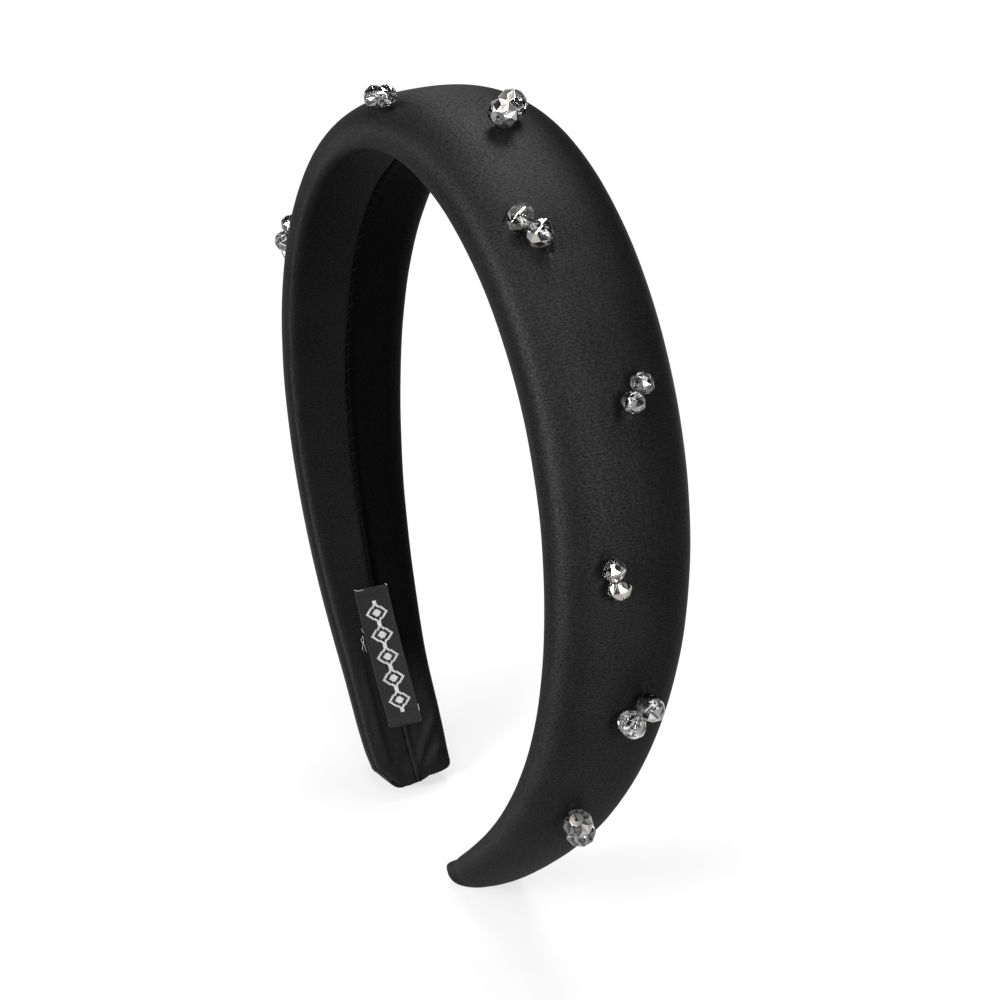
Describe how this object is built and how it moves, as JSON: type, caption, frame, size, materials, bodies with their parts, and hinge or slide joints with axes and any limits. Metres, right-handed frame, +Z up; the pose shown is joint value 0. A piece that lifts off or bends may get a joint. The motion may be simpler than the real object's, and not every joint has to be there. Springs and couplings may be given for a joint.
{
  "type": "headband",
  "caption": "Wide padded satin headband on a springy hoop, with pairs of small faceted crystals sewn along its outside.",
  "frame": {"origin": "centre of the bounding box in X and Y, on the level that the two tips stand on", "axes": "+Z up from the tips through the crown, +X towards the leg without the label, +Y towards the back edge of the band; the label is on the inner face of the -X leg"},
  "size_m": [0.1515, 0.031, 0.1734],
  "materials": {
    "satin": "satin",
    "sponge": "matte",
    "hoop_plastic": "satin",
    "black_thread": "satin",
    "pale_thread": "satin",
    "label_ribbon": "matte",
    "crystal": "polished"
  },
  "bodies": {
    "left_half": {"cover_left": "satin", "foam_left": "sponge", "hoop_left": "hoop_plastic", "seam_thread_left": "black_thread", "label": "label_ribbon", "label_tack_1": "pale_thread", "label_tack_2": "pale_thread", "label_tack_3": "pale_thread", "label_tack_4": "pale_thread", "crystal_01a": "crystal", "crystal_01b": "crystal", "crystal_02a": "crystal", "crystal_02b": "crystal", "crystal_03a": "crystal", "crystal_03b": "crystal", "crystal_04a": "crystal", "crystal_04b": "crystal", "crystal_05a": "crystal", "crystal_05b": "crystal", "crystal_thread_01": "black_thread", "crystal_thread_02": "black_thread", "crystal_thread_03": "black_thread", "crystal_thread_04": "black_thread", "crystal_thread_05": "black_thread"},
    "right_half": {"cover_right": "satin", "foam_right": "sponge", "hoop_right": "hoop_plastic", "seam_thread_right": "black_thread", "crystal_06a": "crystal", "crystal_06b": "crystal", "crystal_07a": "crystal", "crystal_07b": "crystal", "crystal_08a": "crystal", "crystal_08b": "crystal", "crystal_09a": "crystal", "crystal_09b": "crystal", "crystal_10a": "crystal", "crystal_10b": "crystal", "crystal_11a": "crystal", "crystal_11b": "crystal", "crystal_thread_06": "black_thread", "crystal_thread_07": "black_thread", "crystal_thread_08": "black_thread", "crystal_thread_09": "black_thread", "crystal_thread_10": "black_thread", "crystal_thread_11": "black_thread"}
  },
  "joints": [
    {"name": "crown_flex", "type": "hinge", "parent": "left_half", "child": "right_half", "pos_m": [-0.00599, 0, 0.16691], "axis": [0, -1, 0], "range_deg": [0, 25], "stiffness_Nm_per_rad": 0.9}
  ]
}
